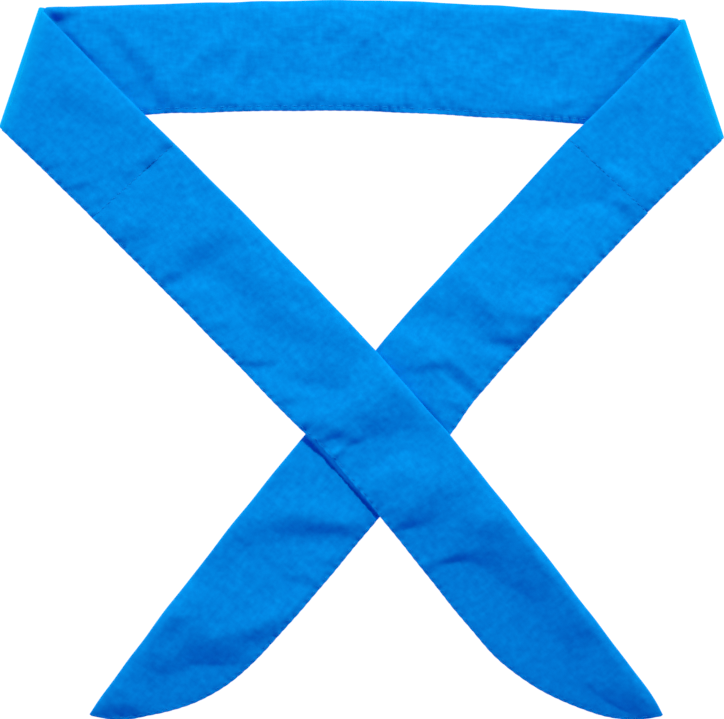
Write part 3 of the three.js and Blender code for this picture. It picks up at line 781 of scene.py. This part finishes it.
def lengths():
    """The five lengths of the sleeve by name."""
    strap = {"sewing": STRAP_SEWING, "slack": STRAP_SLACK}
    left = {"rests_on": under_left_strap, "folds": LEFT_STRAP_FOLDS, "seed": LEFT_SEED, **strap}
    right = {"rests_on": under_right_strap, "folds": RIGHT_STRAP_FOLDS, "seed": RIGHT_SEED, **strap}
    return {
        "band": Length(
            band_sections(), on_floor, BAND_FOLDS, BAND_SEED, BAND_SEWING, BAND_SLACK,
            covers=((LEFT_ARM_EDGE,), (RIGHT_ARM_EDGE,)), creases=(LEFT_CREASE, RIGHT_CREASE),
            presses=((LEFT_ARM_EDGE, LEFT_PRESS), (RIGHT_ARM_NOSE, RIGHT_PRESS)),
        ),
        "left_arm": Length(
            arm_sections(LEFT_SEAM, LEFT_CREASE, LEFT_ARM_BOWS), creases=(LEFT_CREASE,),
            seams=((LEFT_SEAM, LEFT_SEAM_SPOTS, 1),), **left,
        ),
        "right_arm": Length(
            arm_sections(RIGHT_SEAM, RIGHT_CREASE, RIGHT_ARM_BOWS), creases=(RIGHT_CREASE,),
            seams=((RIGHT_SEAM, RIGHT_SEAM_SPOTS, -1),), **right,
        ),
        "left_tie": Length(
            tie_sections(LEFT_SEAM, LEFT_TIP, -1, LEFT_TIE_ROWS),
            seams=((LEFT_SEAM, LEFT_SEAM_SPOTS, -1),), **left,
        ),
        "right_tie": Length(
            tie_sections(RIGHT_SEAM, RIGHT_TIP, 1, RIGHT_TIE_ROWS),
            covers=((CROSSING_FOLD, CROSSING_HEM),), presses=((CROSSING_HEM, CROSSING_PRESS),),
            seams=((RIGHT_SEAM, RIGHT_SEAM_SPOTS, 1),), **right,
        ),
    }


def crease_highlight(points):
    """Share of the painted highlight that lightens the cloth along the creases: 1 on the creases and 0 a
    little way from them.
    """
    distance = from_creases((LEFT_CREASE, RIGHT_CREASE), points[:, 0], points[:, 1])
    return 1 - smoothstep(distance, 0, HIGHLIGHT_REACH)


def skin(numbers):
    """Four-cornered faces between neighbouring rings of numbered points."""
    beside = np.roll(numbers, -1, axis=-1)
    corners = (numbers[..., :-1, :], beside[..., :-1, :], beside[..., 1:, :], numbers[..., 1:, :])
    return np.stack(corners, axis=-1).reshape(-1, 4).tolist()


def new_object(name, data):
    """A new object in the scene."""
    made = bpy.data.objects.new(name, data)
    bpy.context.scene.collection.objects.link(made)
    return made


def mesh_piece(name, points, faces, material):
    """A mesh object from points with their places on the cloth, and faces, which are turned outwards."""
    points, cloth_places = points[:, :3], points[:, 3:]
    fans = ((face[0], *pair) for face in faces for pair in zip(face[1:], face[2:]))
    a, b, c = (points[corner] for corner in np.array(list(fans)).T)
    if np.einsum("ij,ij->", a, np.cross(b, c)) < 0:
        faces = [face[::-1] for face in faces]
    mesh = bpy.data.meshes.new(name)
    mesh.from_pydata(points, [], faces)
    corners = np.empty(len(mesh.loops), dtype=np.int32)
    mesh.loops.foreach_get("vertex_index", corners)
    mesh.uv_layers.new(name=CLOTH_MAP).uv.foreach_set("vector", cloth_places[corners].ravel())
    # The share of the painted crease highlight at each point, which the cloth's colour reads
    mesh.attributes.new(HIGHLIGHT_MAP, "FLOAT", "POINT").data.foreach_set("value", crease_highlight(points))
    mesh.shade_smooth()
    mesh.materials.append(material)
    return new_object(name, mesh)


def sleeve_piece(name, upper, lower, material):
    """The closed skin of a sleeve: rings out along one face and back along the other, and a fan round a
    middle point at each end."""
    rings = np.concatenate((upper, lower[:, -2:0:-1]), axis=1)
    count, size, columns = rings.shape
    points = np.concatenate((rings.reshape(-1, columns), rings[[0, -1]].mean(axis=1)))
    numbers = np.arange(count * size).reshape(count, size)
    first, last = numbers[0], numbers[-1]
    first_fan = np.column_stack((np.roll(first, -1), first, np.full(size, count * size)))
    last_fan = np.column_stack((last, np.roll(last, -1), np.full(size, count * size + 1)))
    return mesh_piece(name, points, skin(numbers) + first_fan.tolist() + last_fan.tolist(), material)


def neck_pocket_piece(parts, material):
    """The neck pocket: left arm, crease, band, crease and right arm in one skin. The band's back runs on
    into the upper face of the arms."""
    left, band, right = (parts[name] for name in ("left_arm", "band", "right_arm"))
    stretches = (
        (mapped_faces(left)[::-1], 1), (mapped_turn(LEFT_CREASE, band, left), -1), (mapped_faces(band), 1),
        (mapped_turn(RIGHT_CREASE, band, right), 1), (mapped_faces(right)[::-1], -1),
    )
    front, back = (np.concatenate([faces[side][::step] for faces, step in stretches]) for side in (0, 1))
    return sleeve_piece("neck_pocket_cloth", front, back, material)


def tie_piece(name, length, material):
    """A tie, with fewer columns on the face that it lies on."""
    upper, lower = mapped_faces(length)
    edge, last = len(EDGE_PLACES), upper.shape[1] - 1
    middle = np.arange(edge, last - edge, UNDERSIDE_STRIDE)
    kept = np.concatenate((np.arange(edge), middle, np.arange(last - edge, last + 1)))
    return sleeve_piece(name, upper, lower[:, kept], material)


def stitch_places(run, pitch, left_out):
    """Places along a run of stitches, a few to each one, without the ones left out at both ends."""
    numbers = np.arange(left_out, int(run / pitch) - left_out)
    reach = np.linspace(-0.5, 0.5, len(THREAD_PROFILE)) * THREAD_SPAN
    return (numbers[:, None] + 0.5 + reach) * pitch


def hem_thread(length):
    """Middle lines of the stitches along a hem: each one bridges two needle holes."""
    places = stitch_places(length.sections.run[-1], STITCH_PITCH, 1)
    at = length.sections.at_runs(places.ravel())
    from_fold = at.width - length.sewing["inset"] / at.hem_square
    upper, _ = faces_of(replace(length, sections=at), from_fold[:, None])
    wide = at.width.reshape(places.shape).min(axis=1) > LEAST_SEWN_WIDTH
    return upper.reshape(*places.shape, 3)[wide]


def seam_thread(length, seam):
    """Middle lines of the stitches along a cross seam."""
    fold, hem = np.array(seam[0]), np.array(seam[1])
    places = stitch_places(np.linalg.norm(hem - fold), SEAM_PITCH, 0)
    line = Sections(fold[None], hem[None], np.array((CROWN,)), np.zeros(1), np.ones(1), np.ones(1))
    upper, _ = faces_of(replace(length, sections=line), places.reshape(1, -1))
    return upper.reshape(*places.shape, 3)


def thread_piece(name, lines, material):
    """Stitches as short tubes round their middle lines, thin at both ends, which dip into the holes."""
    lines = lines - np.array(THREAD_DIP)[:, None] * (0, 0, 1) + (0, 0, THREAD_RADIUS - THREAD_SINK)
    way = unit(np.gradient(lines, axis=1))
    side = unit(np.cross(way, (0, 0, 1)))
    lift = np.cross(side, way)
    angle = np.linspace(0, 2 * np.pi, THREAD_SIDES, endpoint=False)
    ring = side[:, :, None] * np.cos(angle)[:, None] + lift[:, :, None] * np.sin(angle)[:, None]
    points = lines[:, :, None] + THREAD_RADIUS * np.array(THREAD_PROFILE)[:, None, None] * ring
    numbers = np.arange(points[..., 0].size).reshape(points.shape[:3])
    faces = skin(numbers) + numbers[:, 0, ::-1].tolist() + numbers[:, -1].tolist()
    run = np.linspace(0, THREAD_SPAN * STITCH_PITCH, len(THREAD_PROFILE))[:, None]
    columns = np.broadcast_arrays(*np.moveaxis(points, -1, 0), run, np.abs(angle / np.pi - 1))
    return mesh_piece(name, np.stack(columns, axis=-1).reshape(-1, len(columns)), faces, material)


class Signal:
    """A value in a shader: arithmetic on it adds Math nodes."""

    def __init__(self, shader, socket):
        self.shader, self.socket = shader, socket

    def math(self, operation, *values):
        """A Math node on these values, in this order."""
        sockets = dict(enumerate(values))
        return self.shader.node("ShaderNodeMath", {"operation": operation}, sockets)["Value"]

    def __add__(self, other):
        return self.math("ADD", self, other)

    def __sub__(self, other):
        return self.math("SUBTRACT", self, other)

    def __rsub__(self, other):
        return self.math("SUBTRACT", other, self)

    def __mul__(self, other):
        return self.math("MULTIPLY", self, other)

    def __truediv__(self, other):
        return self.math("DIVIDE", self, other)

    def __rtruediv__(self, other):
        return self.math("DIVIDE", other, self)

    def __pow__(self, other):
        return self.math("POWER", self, other)

    def __rpow__(self, other):
        return self.math("POWER", other, self)

    def __abs__(self):
        return self.math("ABSOLUTE", self)

    def sine(self):
        return self.math("SINE", self)

    __radd__ = __add__
    __rmul__ = __mul__


class Shader:
    """One material's nodes."""

    def __init__(self, name):
        self.material = bpy.data.materials.new(name)
        self.material.use_nodes = True
        self.tree = self.material.node_tree
        self.tree.nodes.clear()

    def node(self, kind, settings=None, sockets=None):
        """Adds a node with its settings, fills its sockets with values or links, and gives its outputs."""
        node = self.tree.nodes.new(kind)
        for name, value in (settings or {}).items():
            setattr(node, name, value)
        for key, value in (sockets or {}).items():
            matching = [s for s in node.inputs if s.enabled and key in (s.name, s.identifier)]
            socket = node.inputs[key] if isinstance(key, int) else matching[0]
            if isinstance(value, Signal):
                self.tree.links.new(value.socket, socket)
            else:
                socket.default_value = value
        return {output.name: Signal(self, output) for output in node.outputs if output.enabled}

    def mix(self, factor, low, high):
        """A colour between two others."""
        sockets = {"Factor": factor, "A": low, "B": high}
        return self.node("ShaderNodeMix", {"data_type": "RGBA"}, sockets)["Result"]

    def noise(self, along, across, size_along, size_across):
        """Noise from 0 to 1 in blotches of about one size along the cloth and another across it."""
        sockets = {"X": along / size_along, "Y": across / size_across, "Z": 0.0}
        vector = self.node("ShaderNodeCombineXYZ", sockets=sockets)["Vector"]
        sockets = {"Vector": vector, "Scale": 1.0, "Detail": 1.0}
        return self.node("ShaderNodeTexNoise", sockets=sockets)["Fac"]

    def bump(self, height):
        """The normal of a surface with this height in metres."""
        sockets = {"Strength": 1.0, "Distance": 1.0, "Height": height}
        return self.node("ShaderNodeBump", sockets=sockets)["Normal"]

    def place_on_cloth(self):
        """The way along and across the cloth, in metres."""
        places = self.node("ShaderNodeUVMap", {"uv_map": CLOTH_MAP})["UV"]
        parts = self.node("ShaderNodeSeparateXYZ", sockets={"Vector": places})
        return parts["X"], parts["Y"]

    def finish(self, **sockets):
        """Ends in a Principled shader with these sockets."""
        named = {key.replace("_", " "): value for key, value in sockets.items()}
        surface = self.node("ShaderNodeBsdfPrincipled", sockets=named)["BSDF"]
        self.node("ShaderNodeOutputMaterial", sockets={"Surface": surface})
        return self.material


def cloth_material():
    """Plain-weave cotton: a fine weave with slubs both ways, a faintly mottled blue, and a painted
    highlight along the creases.
    """
    shader = Shader("blue_cloth")
    along, across = shader.place_on_cloth()
    warp = (along * (np.pi / YARN_PITCH)).sine()
    weft = (across * (np.pi / YARN_PITCH)).sine()
    weave = abs(warp * weft) ** WEAVE_SHARPNESS
    slub_along = shader.noise(along, across, SLUB_LENGTH, SLUB_WIDTH)
    slub_across = shader.noise(along, across, SLUB_WIDTH, SLUB_LENGTH)
    slubs = (slub_along + slub_across) / 2
    mottling = shader.noise(along, across, MOTTLE_SIZE, MOTTLE_SIZE)
    slub_tone = (slubs - NOISE_MIDDLE) * SLUB_CONTRAST
    tone = slub_tone + (mottling - NOISE_MIDDLE) * MOTTLE_CONTRAST + NOISE_MIDDLE
    # Painted highlight: the colour is mixed towards a paler blue on the creases
    pale = shader.node("ShaderNodeAttribute", {"attribute_name": HIGHLIGHT_MAP})["Fac"]
    colour = shader.mix(pale * HIGHLIGHT_SHARE, shader.mix(tone, DEEP_BLUE, LIGHT_BLUE), HIGHLIGHT_BLUE)
    normal = shader.bump(weave * WEAVE_HEIGHT + slubs * SLUB_HEIGHT + mottling * MOTTLE_HEIGHT)
    return shader.finish(
        Base_Color=colour, Roughness=mottling * ROUGHNESS_SPREAD + CLOTH_ROUGHNESS, Normal=normal,
        Specular_IOR_Level=CLOTH_SPECULAR, Sheen_Weight=CLOTH_SHEEN, Sheen_Roughness=SHEEN_ROUGHNESS,
        Sheen_Tint=SHEEN_BLUE,
    )


def thread_material():
    """Sewing thread of the cloth's blue, with its twist as slanted ribs."""
    shader = Shader("blue_thread")
    along, turned = shader.place_on_cloth()
    twist = (along * (2 * np.pi / THREAD_TWIST) + turned * np.pi).sine()
    colour = shader.mix(twist * THREAD_CONTRAST + NOISE_MIDDLE, THREAD_DEEP, THREAD_LIGHT)
    return shader.finish(
        Base_Color=colour, Roughness=THREAD_ROUGHNESS, Normal=shader.bump(twist * THREAD_RIB),
        Specular_IOR_Level=THREAD_SPECULAR,
    )


def floor_material():
    """Plain board, lit from within as a light table is."""
    return Shader("pale_floor").finish(
        Base_Color=FLOOR_COLOUR, Roughness=FLOOR_ROUGHNESS, Specular_IOR_Level=0.0,
        Emission_Color=FLOOR_GLOW, Emission_Strength=1.0,
    )


def add_floor():
    """A wide flat board just under the cloth."""
    mesh = bpy.data.meshes.new("floor")
    signs = ((-1, -1), (1, -1), (1, 1), (-1, 1))
    corners = [(x * FLOOR_REACH, y * FLOOR_REACH, -FLOOR_DROP) for x, y in signs]
    mesh.from_pydata(corners, [], [(0, 1, 2, 3)])
    mesh.materials.append(floor_material())
    floor = new_object("floor", mesh)


def add_light(name, kind, azimuth, elevation, distance, power, colour, aim, settings):
    """A soft light that looks at its aim. Azimuth turns from +Y towards +X, in degrees."""
    light = bpy.data.lights.new(name, kind)
    light.energy = power
    light.color = colour
    for setting, value in settings.items():
        setattr(light, setting, value)
    lamp = new_object(name, light)
    turn, rise = np.radians(azimuth), np.radians(elevation)
    outward = Vector((np.sin(turn) * np.cos(rise), np.cos(turn) * np.cos(rise), np.sin(rise)))
    lamp.location = Vector(aim) + distance * outward
    lamp.rotation_euler = (-outward).to_track_quat("-Z", "Y").to_euler()
    lamp.visible_camera = False


def add_lights():
    """The three lights and the dome."""
    add_light("key", "SPOT", **KEY_LIGHT)
    add_light("right", "AREA", SIDE_AZIMUTH, **SIDE_LIGHT)
    add_light("left", "AREA", -SIDE_AZIMUTH, **SIDE_LIGHT)
    world = bpy.data.worlds.new("surround")
    world.use_nodes = True
    background = world.node_tree.nodes["Background"]
    background.inputs["Color"].default_value = SURROUND_COLOUR
    background.inputs["Strength"].default_value = SURROUND_STRENGTH
    bpy.context.scene.world = world
    bpy.context.scene.view_settings.view_transform = "Standard"


def add_camera():
    """Looks straight down on the middle and frames the photo's width at the cloth."""
    camera = bpy.data.cameras.new("camera")
    camera.sensor_width = SENSOR_WIDTH
    camera.lens = SENSOR_WIDTH * (CAMERA_HEIGHT - CROWN / 2) / (PHOTO_SCALE * PHOTO_WIDTH)
    eye = new_object("camera", camera)
    eye.location = (0, 0, CAMERA_HEIGHT)
    bpy.context.scene.camera = eye


def dress(piece, *nodes):
    """A new piece rides with the wrap and stands for its nodes, whose parts it hides."""
    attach(piece, "root")
    if nodes:
        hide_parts(*nodes)


def main():
    """Builds the wrap, dresses it and sets the scene round it."""
    cloth, thread = cloth_material(), thread_material()
    parts = lengths()
    pocket = neck_pocket_piece(parts, cloth)
    left = tie_piece("left_tie_cloth", parts["left_tie"], cloth)
    right = tie_piece("right_tie_cloth", parts["right_tie"], cloth)
    hem_lines = [hem_thread(length) for length in parts.values()]
    seam_lines = [seam_thread(parts["left_tie"], LEFT_SEAM), seam_thread(parts["right_tie"], RIGHT_SEAM)]
    hems = thread_piece("hem_stitches", np.concatenate(hem_lines), thread)
    crossings = thread_piece("cross_stitches", np.concatenate(seam_lines), thread)
    dress(pocket, "neck_pocket")
    dress(left, "left_tie")
    dress(right, "right_tie")
    dress(hems)
    dress(crossings)
    add_floor()
    add_lights()
    add_camera()


main()
